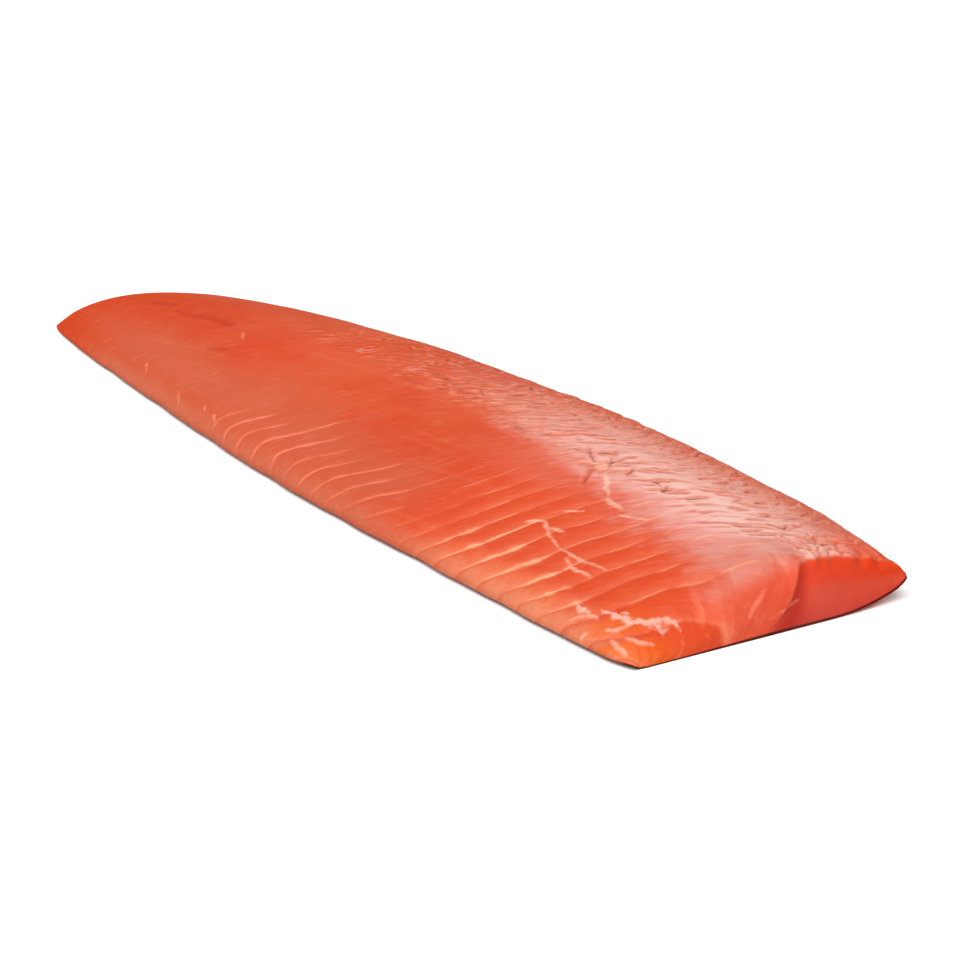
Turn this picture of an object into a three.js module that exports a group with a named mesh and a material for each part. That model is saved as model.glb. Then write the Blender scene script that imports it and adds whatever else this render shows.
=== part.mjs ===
// A raw salmon fillet: one whole side, laid flesh up on a flat surface.
// The thin tail points to -X and the straight cut behind the head faces +X. The belly edge runs
// along -Y and the thick loin along +Y. The origin is at the bottom centre of the bounding box.
// Places on the fillet are given by s, the fraction of its length from the tail tip, and by v,
// the fraction of its width from the belly edge.

import * as THREE from 'three';

// Driving dimensions, in millimetres unless a fraction is named.
const LENGTH = 560;

// Outline seen from above. Each side swells from the tail to its reach and then tucks in a little.
const BELLY = { reach: 57.6, run: 0.972, rise: 1.01, full: 1.61, tuck: 0.05 };
const LOIN = { reach: 112, run: 0.564, rise: 2.05, full: 3.06, tuck: 0.307 };
const TAIL_DRIFT = 26.8; // how far the tail tip lies towards the loin side
const TAIL_DRIFT_FADE = 1.88;
const BELLY_BULGE = { size: 1.7, from: 0.02, to: 0.74 }; // drawn in near the tail, let out after it

// Height of the loin's crest along the fillet.
const CREST = { height: 30.4, run: 0.538, rise: 2.23, full: 2.89, fall: 0.083 };
const CUT_DROOP = { depth: 1.6, from: 0.93 }; // how far the top sinks just before the cut

// Section across the fillet.
const CREST_PLACE = 0.605; // v of the crest
const BELLY_EDGE_HEIGHT = 0.371; // height inside the belly edge, as a fraction of the crest
const LOIN_EDGE_HEIGHT = 0.567; // height inside the loin edge, as a fraction of the crest
const BELLY_SWELL = 1.23; // how late the belly side climbs to the crest
const EDGE_ROUND = 12; // how far in the rounding of both edges reaches
const UNDER_ROUND = 7.2; // the same on the underside
const BELLY_NOSE = 2; // height of the outermost line of the belly edge
const LOIN_NOSE = 10.3; // height of the outermost line of the loin edge
const NOSE_BLEND = [0.35, 0.65]; // v range where one nose height gives way to the other
const LOIN_LIFT = 7.5; // how far the underside lifts towards the loin edge
const LIFT_FROM = 0.72; // v where the lift starts

// Muscle flakes. Their seams sweep forward from the belly edge and turn back on the loin's far slope.
const TAIL_FADE = [0.01, 0.12]; // s range where the relief and the uneven outline fade in
const FLAKE_PITCH = 15;
const SEAM_START = 10.5;
const FLAKE_BEND = 0.46; // v of the bend
const BELLY_LEAN = { reach: 36, curve: 2 }; // how far a seam lies behind the bend at the belly edge
const LOIN_LEAN = { reach: 66, curve: 1.2 }; // how far a seam would lie ahead of it at the loin edge
const LOIN_TURN = { reach: 75, curve: 1.5, from: 0.68 }; // how far it turns back from there
const PILLOW = { height: 0.3, fullness: 0.7 }; // swelling of a flake between its two seams
const STEP_HEIGHT = 0.8; // rise of a flake over the next one, where the loin has torn open
const PILLOW_ZONE = { s: [0.36, 0.5], v: [0.3, 0.46] }; // fades in along s and out across v
const STEP_ZONE = { s: [0.36, 0.6], v: [0.46, 0.6], edge: [0.88, 1.05] };

// Slow waves: `every` is the wavelength along the fillet and `turn` shifts the wave across it.
const wave = (size, every, turn, start) => ({ size, every, turn, start });
const SWEEP = { edge: 6.8, middle: -4.5, v: [0.03, 0.24], s: [0.64, 0.74] }; // extra turn near the cut
const FLAKE_JITTER = [wave(0.1, 88, 0, 1.16), wave(0.195, 270, 0, 2.52)];
const TOP_SWAY = [wave(0.25, 146, 5, 0), wave(0.18, 88, -9, 1)];
const BELLY_SWAY = [wave(0.27, 62, 0, 1), wave(0.16, 32, 0, 0)];
const LOIN_SWAY = [wave(0.27, 73, 0, 2), wave(0.16, 28, 0, 1)];
const TORN_ALONG = [wave(1, 103, 7, 0)];
const TORN_ACROSS = [wave(1, 233, -19, 2)];

// The torn pit in the loin.
const TEAR = { x: 152, v: 0.5, length: 11, width: 0.035, depth: 1.6 };

// The cut end: rolled over on the belly side, with a crisp face on the loin.
const ROLL_LENGTH = [27, 14]; // from the belly edge to the split
const ROLL_NARROWS = [0.25, 0.5]; // v range where the roll shortens
const CRISP_LENGTH = 3.2;
const ROLL_LIP = 0.17; // height left standing under the roll, as a fraction of the thickness
const CRISP_LIP = 0.88;
const SPLIT = { from: 0.52, to: 0.549, fade: 0.66 }; // the belly wall parts from the loin here
const SPLIT_DEPTH = 2.6; // how far the loin's face lies back beside the split
const SPLIT_LEAN = { top: 7, foot: 16, width: 0.1, s: [0.93, 0.985] }; // its foot curves to the belly
const FACE_HOLLOW = 0.8; // dishing of the loin's face

// Mesh.
const ROWS = 156;
const TAIL_ROWS = 14; // rows that open up from the tail tip
const FIRST_STEP = 0.4; // first step from the tip, against the growth of each later one
const CUT_ROWS = 7; // rows that close in on the cut
const EVEN_COLUMNS = 28; // columns across the top, beside the one that the split adds
const EDGE_GATHERING = 0.65; // how strongly the columns gather at the edges
const UNDERSIDE_STATIONS = [0.96, 0.87, LIFT_FROM, 0.4, 0.07]; // v of the underside's columns
const FACE_LEVELS = [0.12, 0.35, 0.6, 0.85]; // heights on the cut face, counted down from its rim
const ROW_SLANT = 0.6; // how closely the rows follow the lean of the flakes
const SLANT_IN = 0.25;
const SLANT_OUT = 0.72;

const clamp = THREE.MathUtils.clamp;
const mix = THREE.MathUtils.lerp;
const smooth = THREE.MathUtils.smoothstep;

// Grows from 0 at the tail tip to 1 at the fraction `run` of the length, and stays there.
function swell(s, { run, rise, full }) {
  const rest = 1 - clamp(s / run, 0, 1);
  return (1 - rest ** rise) ** (1 / full);
}

// How far s has gone on from `run` to the cut, squared.
function past(s, run) {
  return clamp((s - run) / (1 - run), 0, 1) ** 2;
}

// Quarter of an ellipse that climbs from 0 at the edge to 1 at the distance `over` from it.
function quarterRound(distance, over) {
  const rest = 1 - clamp(distance / over, 0, 1);
  return Math.sqrt(1 - rest ** 2);
}

// A sum of slow waves at x, the distance from the middle of the length.
function waves(list, x, v) {
  const angle = ({ every, turn, start }) => (2 * Math.PI * x) / every + turn * v + start;
  return list.reduce((sum, one) => sum + one.size * Math.sin(angle(one)), 0);
}

const alongX = (s) => (s - 0.5) * LENGTH;

// The two edges of the outline.
function edges(s) {
  const keel = TAIL_DRIFT * (1 - s) ** TAIL_DRIFT_FADE;
  const fade = smooth(s, ...TAIL_FADE);
  const turn = clamp((s - BELLY_BULGE.from) / (BELLY_BULGE.to - BELLY_BULGE.from), 0, 1);
  const bulge = BELLY_BULGE.size * Math.sin(2 * Math.PI * turn);
  const bellyReach = BELLY.reach * (swell(s, BELLY) - BELLY.tuck * past(s, BELLY.run));
  const loinReach = LOIN.reach * (swell(s, LOIN) - LOIN.tuck * past(s, LOIN.run));
  return {
    belly: keel - bellyReach + bulge + fade * waves(BELLY_SWAY, alongX(s), 0),
    loin: keel + loinReach + fade * waves(LOIN_SWAY, alongX(s), 0),
  };
}

// How far ahead of the bend a seam lies at v. It is negative on the belly side.
function lean(v) {
  const beyond = (from) => Math.max(0, (v - from) / (1 - from));
  const belly = BELLY_LEAN.reach * Math.max(0, 1 - v / FLAKE_BEND) ** BELLY_LEAN.curve;
  const loin = LOIN_LEAN.reach * beyond(FLAKE_BEND) ** LOIN_LEAN.curve;
  return loin - LOIN_TURN.reach * beyond(LOIN_TURN.from) ** LOIN_TURN.curve - belly;
}

// How far the seams near the cut are shifted towards it: forwards at the belly edge, back beyond it.
function sweep(s, v) {
  const reach = mix(SWEEP.edge, SWEEP.middle, smooth(v, ...SWEEP.v));
  return reach * smooth(s, ...SWEEP.s);
}

// How strongly the loin has come apart, from 0 to 1.
function tornness(s, v) {
  const patches = 0.5 + 0.5 * waves(TORN_ALONG, alongX(s), v) * waves(TORN_ACROSS, alongX(s), v);
  const { s: along, v: across, edge } = STEP_ZONE;
  return patches * smooth(s, ...along) * smooth(v, ...across) * (1 - smooth(v, ...edge));
}

// The torn pit, deepest at its middle.
function pitDepth(s, v) {
  const far = ((alongX(s) - TEAR.x) / TEAR.length) ** 2 + ((v - TEAR.v) / TEAR.width) ** 2;
  return TEAR.depth * Math.exp(-far);
}

// Low relief of the top: pillows between the seams, torn steps on the loin, a pit and slow sway.
function relief(s, v) {
  const upright = alongX(s) - lean(v);
  const place = (upright - sweep(s, v) + SEAM_START) / FLAKE_PITCH + waves(FLAKE_JITTER, upright, 0);
  const within = place - Math.floor(place);
  const pillow = PILLOW.height * Math.sin(Math.PI * within) ** PILLOW.fullness;
  const pillowZone = smooth(s, ...PILLOW_ZONE.s) * (1 - smooth(v, ...PILLOW_ZONE.v));
  const step = STEP_HEIGHT * tornness(s, v) * (within - 0.5);
  return pillow * pillowZone + step - pitDepth(s, v) + waves(TOP_SWAY, alongX(s), v);
}

// Heights of the outermost lines of both edges, and of the lift below the loin.
function noses(s) {
  const grown = swell(s, CREST);
  return { belly: BELLY_NOSE * grown, lift: LOIN_LIFT * grown, loin: LOIN_NOSE * grown };
}

// Height of the underside: flat, rounded up at both edges and lifted towards the loin edge.
function underside(s, v, width) {
  const nose = noses(s);
  const lift = nose.lift * clamp((v - LIFT_FROM) / (1 - LIFT_FROM), 0, 1) ** 2;
  const bellyRound = 1 - quarterRound(v * width, UNDER_ROUND);
  const loinRound = 1 - quarterRound((1 - v) * width, UNDER_ROUND);
  return lift + nose.belly * bellyRound + (nose.loin - nose.lift) * loinRound;
}

// Height of the top before the cut end is rolled over.
function topside(s, v, width) {
  const crest = CREST.height * swell(s, CREST) * (1 - CREST.fall * past(s, CREST.run));
  const climb = Math.sin((Math.PI / 2) * clamp(v / CREST_PLACE, 0, 1)) ** BELLY_SWELL;
  const fall = Math.cos((Math.PI / 2) * clamp((v - CREST_PLACE) / (1 - CREST_PLACE), 0, 1));
  const profile = v < CREST_PLACE ? mix(BELLY_EDGE_HEIGHT, 1, climb) : mix(LOIN_EDGE_HEIGHT, 1, fall);
  const droop = CUT_DROOP.depth * smooth(s, CUT_DROOP.from, 1);
  const { belly, loin } = noses(s);
  const nose = mix(belly, loin, smooth(v, ...NOSE_BLEND));
  const rounding = quarterRound(Math.min(v, 1 - v) * width, EDGE_ROUND);
  const body = nose + Math.max(0, crest * profile - droop - nose) * rounding;
  return body + relief(s, v) * rounding * smooth(s, ...TAIL_FADE);
}

// How far the loin's cut face lies back: a little all over, and deeper beside the split.
function faceHollow(v, down) {
  const crisp = smooth(v, SPLIT.from, SPLIT.to);
  const beside = 1 - smooth(v, SPLIT.to, SPLIT.fade);
  const bowl = (27 / 4) * down * (1 - down) ** 2; // 1 at its deepest, a third of the way down
  return bowl * crisp * (FACE_HOLLOW + SPLIT_DEPTH * beside);
}

// How far a point near the split is moved towards the loin: most at the top, and back at the foot.
function splitLean(s, v, level) {
  const beside = Math.exp(-(((v - SPLIT.to) / SPLIT_LEAN.width) ** 2));
  return (SPLIT_LEAN.top - SPLIT_LEAN.foot * (1 - level) ** 3) * beside * smooth(s, ...SPLIT_LEAN.s);
}

// Fraction of the length at a row, shifted so that the rows follow the flakes.
function slanted(row, v) {
  const fade = smooth(row, 0, SLANT_IN) * (1 - smooth(row, SLANT_OUT, 1));
  return row + (ROW_SLANT * lean(v) * fade) / LENGTH;
}

function undersidePoint(row, v) {
  const s = slanted(row, v);
  const { belly, loin } = edges(s);
  return new THREE.Vector3(alongX(s), mix(belly, loin, v), underside(s, v, loin - belly));
}

// Point above the underside, at the fraction `level` of the thickness.
function pointAt(s, v, level) {
  const { belly, loin } = edges(s);
  const low = underside(s, v, loin - belly);
  const high = Math.max(low, topside(s, v, loin - belly));
  return new THREE.Vector3(alongX(s), mix(belly, loin, v) + splitLean(s, v, level), mix(low, high, level));
}

// Level of the top: the full thickness, rolled down to a lip towards the cut.
function topLevel(s, v) {
  const crisp = smooth(v, SPLIT.from, SPLIT.to);
  const rolled = mix(...ROLL_LENGTH, smooth(v, ...ROLL_NARROWS));
  const roll = quarterRound((1 - s) * LENGTH, mix(rolled, CRISP_LENGTH, crisp));
  return mix(mix(ROLL_LIP, CRISP_LIP, crisp), 1, roll);
}

function topPoint(row, v) {
  const s = slanted(row, v);
  return pointAt(s, v, topLevel(s, v));
}

// Point of the cut face, the fraction `down` of the way from its rim to its foot.
function facePoint(v, down) {
  const point = pointAt(1, v, topLevel(1, v) * (1 - down));
  point.x -= faceHollow(v, down);
  return point;
}

// Stations along the length: steps open up from the tail tip and close in on the cut.
function rowStations() {
  const step = (k) => Math.min(1, (k + FIRST_STEP) / TAIL_ROWS, (ROWS - k) / CUT_ROWS);
  const steps = Array.from({ length: ROWS }, (_, k) => step(k));
  const total = steps.reduce((sum, one) => sum + one, 0);
  let travelled = 0;
  return steps.map((one) => {
    travelled += one;
    return travelled / total;
  });
}

// Stations across the top, gathered towards both edges, with one more where the split starts.
function topStations() {
  const gathered = Array.from({ length: EVEN_COLUMNS + 1 }, (_, j) => {
    const even = j / EVEN_COLUMNS;
    return mix(even, 0.5 - 0.5 * Math.cos(Math.PI * even), EDGE_GATHERING);
  });
  return [...gathered, SPLIT.from].toSorted((a, b) => a - b);
}

// One closed skin: the tail tip, closed rings of top and underside, and the cut face.
function filletGeometry() {
  const across = topStations();
  const last = across.length - 1;
  const around = across.length + UNDERSIDE_STATIONS.length;
  const rings = rowStations().map((row) => [
    ...across.map((v) => topPoint(row, v)),
    ...UNDERSIDE_STATIONS.map((v) => undersidePoint(row, v)),
  ]);
  const inner = across.slice(1, -1);
  const face = FACE_LEVELS.map((down) => inner.map((v) => facePoint(v, down)));
  const tip = new THREE.Vector3(alongX(0), TAIL_DRIFT, 0);
  const points = [tip, ...rings.flat(), ...face.flat()];

  const faces = [];
  const addFace = (a, b, c) => {
    if (a !== b && b !== c && c !== a) {
      faces.push(a, b, c);
    }
  };
  const addQuad = (a, b, c, d) => {
    addFace(a, b, c);
    addFace(a, c, d);
  };

  // The tail tip and the rings.
  const onRing = (k, j) => 1 + k * around + (j % around);
  for (let j = 0; j < around; j += 1) {
    addFace(0, onRing(0, j), onRing(0, j + 1));
    for (let k = 0; k < ROWS - 1; k += 1) {
      addQuad(onRing(k, j), onRing(k + 1, j), onRing(k + 1, j + 1), onRing(k, j + 1));
    }
  }

  // The cut face, level by level. Both ends of a level run into the outermost lines of the edges.
  const onFace = (level, j) => {
    if (level === 0 || j === 0 || j === last) {
      return onRing(ROWS - 1, j);
    }
    return 1 + ROWS * around + (level - 1) * inner.length + j - 1;
  };
  for (let level = 0; level < FACE_LEVELS.length; level += 1) {
    for (let j = 0; j < last; j += 1) {
      addQuad(onFace(level, j), onFace(level + 1, j), onFace(level + 1, j + 1), onFace(level, j + 1));
    }
  }

  // The strip between the lowest level and the wider steps of the underside's end.
  const footStations = [0, ...UNDERSIDE_STATIONS.toReversed(), 1];
  const onFoot = (i) => onRing(ROWS - 1, i === 0 ? 0 : around - i);
  let i = 0;
  for (let j = 0; j < last; j += 1) {
    const next = onFace(FACE_LEVELS.length, j + 1);
    addFace(onFace(FACE_LEVELS.length, j), onFoot(i), next);
    while (i < footStations.length - 1 && footStations[i + 1] <= across[j + 1]) {
      addFace(next, onFoot(i), onFoot(i + 1));
      i += 1;
    }
  }

  const geometry = new THREE.BufferGeometry().setFromPoints(points);
  geometry.setIndex(faces);
  geometry.computeBoundingBox();
  const { min, max } = geometry.boundingBox;
  geometry.translate(-(min.x + max.x) / 2, -(min.y + max.y) / 2, -min.z);
  geometry.computeVertexNormals();
  return geometry;
}

function filletMesh() {
  const flesh = new THREE.MeshStandardMaterial({ color: 0xe2603c, roughness: 0.4, metalness: 0 });
  const mesh = new THREE.Mesh(filletGeometry(), flesh);
  mesh.name = 'fillet';
  return mesh;
}

const salmonFillet = new THREE.Group();
salmonFillet.add(filletMesh());

export default salmonFillet;
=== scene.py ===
"""A raw salmon fillet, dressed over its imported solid: a finely shaped flesh surface and a studio.

Places on the fillet are given as in the solid: s is the fraction of the length from the tail tip,
and v the fraction of the width from the belly edge. Sizes are in metres.
"""

import math

import bpy
import numpy as np
from bpy.props import FloatProperty, FloatVectorProperty, PointerProperty
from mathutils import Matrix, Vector


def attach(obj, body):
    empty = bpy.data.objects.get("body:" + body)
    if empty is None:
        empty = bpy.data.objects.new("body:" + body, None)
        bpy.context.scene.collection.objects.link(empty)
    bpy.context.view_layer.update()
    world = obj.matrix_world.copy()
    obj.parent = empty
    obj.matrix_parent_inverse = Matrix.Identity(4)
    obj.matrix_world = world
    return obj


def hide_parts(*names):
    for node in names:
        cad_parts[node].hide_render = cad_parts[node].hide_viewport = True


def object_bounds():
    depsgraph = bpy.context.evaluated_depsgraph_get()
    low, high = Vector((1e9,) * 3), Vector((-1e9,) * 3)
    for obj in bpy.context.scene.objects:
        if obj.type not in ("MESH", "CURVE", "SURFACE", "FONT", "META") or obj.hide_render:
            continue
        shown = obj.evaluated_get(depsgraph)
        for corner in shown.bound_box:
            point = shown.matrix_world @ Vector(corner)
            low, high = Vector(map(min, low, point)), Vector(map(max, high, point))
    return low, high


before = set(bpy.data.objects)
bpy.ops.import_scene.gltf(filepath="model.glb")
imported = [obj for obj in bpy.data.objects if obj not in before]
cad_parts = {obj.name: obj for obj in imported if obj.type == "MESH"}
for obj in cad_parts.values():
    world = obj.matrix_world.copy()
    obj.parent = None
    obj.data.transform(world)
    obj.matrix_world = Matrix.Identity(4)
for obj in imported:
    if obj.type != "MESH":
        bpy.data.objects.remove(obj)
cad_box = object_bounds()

bl_info = {
    "name": "Salmon fillet",
    "version": (1, 0, 0),
    "blender": (4, 5, 0),
    "location": "3D View > Sidebar > Fillet",
    "description": "Shapes and finishes a raw salmon fillet on a studio floor",
    "category": "Add Mesh",
}

MM = 0.001
CAD_LOW, CAD_HIGH = (np.array(corner, float) for corner in cad_box)
CAD_SIZE = CAD_HIGH - CAD_LOW
MID_SHIFT = 31.05 * MM

# ---------------------------------------------------------------------------------------------
# Form of the fillet, as in the solid
# ---------------------------------------------------------------------------------------------

BELLY = {"reach": 57.6 * MM, "run": 0.972, "rise": 1.01, "full": 1.61, "tuck": 0.05}
LOIN = {"reach": 112 * MM, "run": 0.564, "rise": 2.05, "full": 3.06, "tuck": 0.307}
TAIL_DRIFT = 26.8 * MM
TAIL_DRIFT_FADE = 1.88
BELLY_BULGE = {"size": 1.7 * MM, "from": 0.02, "to": 0.74}

CREST = {"run": 0.538, "rise": 2.23, "full": 2.89, "fall": 0.083}
CUT_DROOP = {"depth": 1.6 * MM, "from": 0.93}
CREST_PLACE = 0.605
BELLY_EDGE_HEIGHT = 0.371
LOIN_EDGE_HEIGHT = 0.567
BELLY_SWELL = 1.23
EDGE_ROUND = 12 * MM
UNDER_ROUND = 7.2 * MM
BELLY_NOSE = 2 * MM
LOIN_NOSE = 10.3 * MM
NOSE_BLEND = (0.35, 0.65)
LOIN_LIFT = 7.5 * MM
LIFT_FROM = 0.72
TAIL_FADE = (0.01, 0.12)

FLAKE_BEND = 0.46
BELLY_LEAN = 36 * MM
BELLY_LEAN_CURVE = 2
LOIN_LEAN = 66 * MM
LOIN_LEAN_CURVE = 1.2
LOIN_TURN = {"reach": 75 * MM, "curve": 1.5, "from": 0.68}
SEAM_START = 10.5 * MM
SWEEP = {"reach": (6.8 * MM, -4.5 * MM), "v": (0.03, 0.24), "s": (0.64, 0.74)}
EDGE_TURN = {"length": (7 * MM, -6 * MM), "v": 0.045, "s": (0.5, 0.66)}
PILLOW_FULLNESS = 0.7
PILLOW_ZONE = {"s": (0.36, 0.5), "v": (0.3, 0.46)}
STEP_ZONE = {"s": (0.36, 0.6), "v": (0.46, 0.6), "edge": (0.88, 1.05)}

# Slow waves: (size, wavelength along the fillet, turn across it, start).
FLAKE_JITTER = ((0.1, 88 * MM, 0, 1.16), (0.195, 270 * MM, 0, 2.52))
TOP_SWAY = ((0.25 * MM, 146 * MM, 5, 0), (0.18 * MM, 88 * MM, -9, 1))
BELLY_SWAY = ((0.27 * MM, 62 * MM, 0, 1), (0.16 * MM, 32 * MM, 0, 0))
LOIN_SWAY = ((0.27 * MM, 73 * MM, 0, 2), (0.16 * MM, 28 * MM, 0, 1))
TORN_ALONG = ((1, 103 * MM, 7, 0),)
TORN_ACROSS = ((1, 233 * MM, -19, 2),)

TEAR = {"x": 152 * MM, "v": 0.5, "length": 11 * MM, "width": 0.035, "depth": 1.6 * MM}
ROLL_LENGTH = (27 * MM, 14 * MM)
ROLL_NARROWS = (0.25, 0.5)
CRISP_LENGTH = 3.2 * MM
ROLL_LIP = 0.17
CRISP_LIP = 0.88
SPLIT = (0.52, 0.549, 0.66)
SPLIT_DEPTH = 2.6 * MM
SPLIT_LEAN = {"top": 7 * MM, "foot": 16 * MM, "width": 0.1, "s": (0.93, 0.985)}
FACE_HOLLOW = 0.8 * MM

# Finer relief that only the dressed surface has.
SEAM_GROOVE = {"depth": 0.1 * MM, "width": 0.9 * MM}
RAGGED_SEAM = 0.12
TORN_SCALE = {"height": 0.3 * MM, "across": 8.0 * MM, "along": 15 * MM}
LUMPS = {"height": 0.25 * MM, "size": 11 * MM}
FLAKE_WANDER = (5 * MM, 9 * MM)
TORN_PATCH = (22 * MM, 13 * MM)
CUT_TONGUES = {"height": 1.1 * MM, "across": 13 * MM, "along": 7 * MM, "s": (0.94, 0.97), "v": (0.55, 0.63)}
SLITS = {"in_flake": 2, "depth": 0.45 * MM, "width": 0.9 * MM, "every": 5 * MM}
SLIT_LIP = {"height": 0.3 * MM, "behind": 1.7 * MM, "width": 1.2 * MM}
SLIT_ZONE = {"s": (0.14, 0.45), "v": (0.46, 0.58), "edge": (0.92, 1.02)}
RIM_RAGGED = 2.4 * MM
RIM_GRAIN = 4.5 * MM
RIM_FROM = 0.985
RIM_FADE = 0.16
STRAND_HEIGHT = 0.2 * MM
STRAND_ROUND = 0.6 * MM
STRAND_WANDER = 0.45 * MM
THREAD_WANDER = 0.5 * MM
STROKE_WANDER = 0.4 * MM
MEMBRANE_WANDER = 1.6 * MM
# Band of painted shade in the fold beside the split: where it lies across, how wide it is, and how far
# along.
CLEFT_SHADE = {"v": (0.55, 0.59), "width": (0.012, 0.05), "s": (0.955, 0.985)}
CRACK_DEPTH = 0.8 * MM
CRACK_ROUND = 0.7 * MM
CRACK_SEED = 5
CRACK_COUNT = 150
CRACK_ZONE = {"s": (0.3, 0.985), "v": (0.54, 0.9)}
CRACK_LENGTH = (1.5, 5)  # in mm, of each half
CRACK_WIDTH = (0.25, 0.8)  # in mm
CRACK_TURN = {"by": 65, "v": (0.66, 0.84)}  # in degrees, towards the loin edge
CRACK_SPREAD = ((0, 16), (70, 20))  # in degrees: middle and spread, along the seams and across them
CRACK_SHARES = (0.75, 0.25)

# Seams of fat on the belly side, from the tail to the cut: how far in each reaches and how strong it is.
FIRST_SEAM = -1
SEAMS = (
    (0.12, 0.4), (0.15, 1.0), (0.14, 0.8), (0.24, 0.85), (0.18, 1.0), (0.16, 0.5), (0.13, 1.0),
    (0.20, 0.9), (0.15, 0.8), (0.15, 0.8), (0.07, 0.4), (0.06, 0.3), (0.05, 0.35), (0.14, 0.7),
    (0.23, 1.0), (0.17, 1.0), (0.15, 1.0), (0.17, 1.0), (0.10, 1.0), (0.09, 0.9),
)
SEAM_FADE = (-0.04, 0.02)
PATH_REACH = 20 * MM

# Strands and crumbs of fat: a path in mm and a width in mm.
STRANDS = (
    (((165, -48), (169, -45), (172, -44)), 2.2),
    (((172, -44), (176, -47), (180, -48)), 1.3),
    (((179, -47), (184, -46), (187, -46)), 1.5),
    (((178, -48), (184, -51), (190, -53), (195, -55)), 1.0),
    (((195, -55), (201, -56), (206, -57), (213, -57), (220, -57), (228, -57)), 1.1),
    (((204, -59), (208, -60), (212, -62)), 1.1),
    (((211, -62), (218, -63), (225, -63)), 1.8),
    (((172, -34), (180, -31)), 1.5),
    (((178, -18), (183, -20), (191, -21)), 2.2),
    (((194, -25), (208, -22)), 1.3),
    (((259, -83), (263, -81), (265, -76)), 1.7),
    (((265, -85), (270, -85), (275, -85)), 1.6),
    (((269, -81), (274, -79), (277, -75)), 1.7),
    (((240, -84), (246, -81), (252, -80)), 1.2),
    (((250, -87), (253, -86)), 1.3),
    (((237, -79), (243, -81)), 1.2),
    (((-154, -28), (-147, -33)), 0.9),
    (((-106, -40), (-98, -45)), 0.9),
    (((-77, -44), (-73, -47)), 0.8),
    (((-65, -47), (-60, -50)), 0.8),
    (((-130, 10), (-122, 5)), 0.8),
)
STREAKS = (
    (((-227, 19), (-214, 18), (-204, 19)), 2.0),
    (((-196, 14), (-183, 13), (-168, 15), (-150, 14), (-142, 13)), 2.4),
    (((-130, -9), (-120, -5)), 1.6),
)

# Scraps of pale membrane in the corner between the belly edge and the cut.
MEMBRANES = (
    (((249, -77), (257, -75), (264, -74), (269, -70), (273, -63), (277, -61)), 2.9),
    (((268, -71), (274, -70), (275, -67)), 1.9),
    (((235, -78), (246, -80)), 2.2),
)

# Tears on the loin and in the tail: a path in mm and a width in mm.
TEARS = (
    (((127, 13), (134, 8), (142, 4)), 0.7),
    (((151, 4), (147, 8), (148, 13)), 0.6),
    (((158, -14), (147, -2)), 0.6),
    (((164, 3), (160, 9)), 0.9),
    (((189, 1), (185, 6)), 0.7),
    (((214, 16), (223, 24)), 0.8),
    (((220, 17), (223, 21)), 0.7),
    (((231, 15), (233, 18)), 0.6),
    (((249, 9), (247, 14)), 0.7),
    (((180, 26), (182, 30)), 0.6),
    (((167, 18), (166, 29), (168, 37)), 0.4),
    (((203, 17), (206, 21), (209, 24)), 0.5),
    (((186, 2), (189, 5)), 0.8),
)
PIT_THREADS = (
    (((145, 4), (148, 2), (152, 2)), 2.8),
    (((154, 0), (163, -7), (177, -17)), 1.7),
    (((146, 4), (142, 14)), 1.5),
    (((146, 4), (139, 1)), 1.4),
    (((146, 4), (153, 5)), 1.6),
)

# Pale strokes on the cut end: a path in mm, across it and down from its rim, and a width in mm.
CUT_WIDTH = 132 * MM
CUT_DEPTH = 28 * MM
STROKES = (
    (((52.8, 18.5), (55.5, 14.5), (61.5, 8.0)), 1.5),
    (((63, 20.5), (69, 19), (76, 17)), 1.4),
    (((63, 9.3), (67, 9.0)), 1.2),
)

# Zones of the finish: where each is absent and where it is full, as fractions along or across.
TAIL_ZONE = (0.36, 0.14)
MIDDLE_ZONE = (0.76, 0.64)
FRONT_ZONE = (0.62, 0.76)
LOIN_ZONE = {"along": (0.4, 0.7), "across": (0.46, 0.6)}
CREAMY_ZONE = (0.68, 0.76)
ROLL_ZONE = (0.955, 0.985)
# Painted contact shadow at the foot: heights above the underside, in mm, where it is absent and where it is
# full, halved near the belly edge.
FOOT_LINE = (1.6, 0.9)
FIBRE = (14 * MM, 2.2 * MM, 3 * MM)
SEAM_DEGREES = 54
SEAM_ANGLE = math.radians(SEAM_DEGREES)
BUMP_HEIGHT = 0.5 * MM
LIGHT_REACH = 4 * MM

ROWS = 540
TAIL_ROWS = 26
CUT_ROWS = 12
FIRST_STEP = 0.4
TOP_COLUMNS = 158
EDGE_GATHERING = 0.35
UNDERSIDE_STATIONS = (0.985, 0.96, 0.92, 0.87, 0.8, LIFT_FROM, 0.6, 0.48, 0.36, 0.24, 0.12, 0.05, 0.02)
FACE_LEVELS = 22
FOOT_GATHERING = 0.7
ROW_SLANT = 0.6
SLANT_IN = 0.25
SLANT_OUT = 0.72


def mix(a, b, t):
    return a + (b - a) * t


def smooth(value, low, high):
    """3t^2 - 2t^3, with t running from 0 at low to 1 at high."""
    t = np.clip((value - low) / (high - low), 0, 1)
    return t * t * (3 - 2 * t)


def swell(s, side):
    """(1 - (1 - s/run)^rise)^(1/full): 0 at the tail tip and 1 from the fraction run on."""
    rest = 1 - np.clip(s / side["run"], 0, 1)
    return (1 - rest ** side["rise"]) ** (1 / side["full"])


def past(s, run):
    """((s - run) / (1 - run))^2 beyond run, else 0."""
    return np.clip((s - run) / (1 - run), 0, 1) ** 2


def quarter_round(distance, over):
    """sqrt(1 - (1 - distance/over)^2): a quarter of an ellipse from the edge inwards."""
    rest = 1 - np.clip(distance / over, 0, 1)
    return np.sqrt(1 - rest**2)


def waves(table, x, v):
    """Sum of size * sin(2 pi x / wavelength + turn * v + start)."""
    return sum(size * np.sin(2 * np.pi * x / every + turn * v + start) for size, every, turn, start in table)


def bell(gap, width):
    """exp(-(gap / width)^2): 1 on a line and nearly 0 two widths away."""
    return np.exp(-((gap / width) ** 2))


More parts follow.
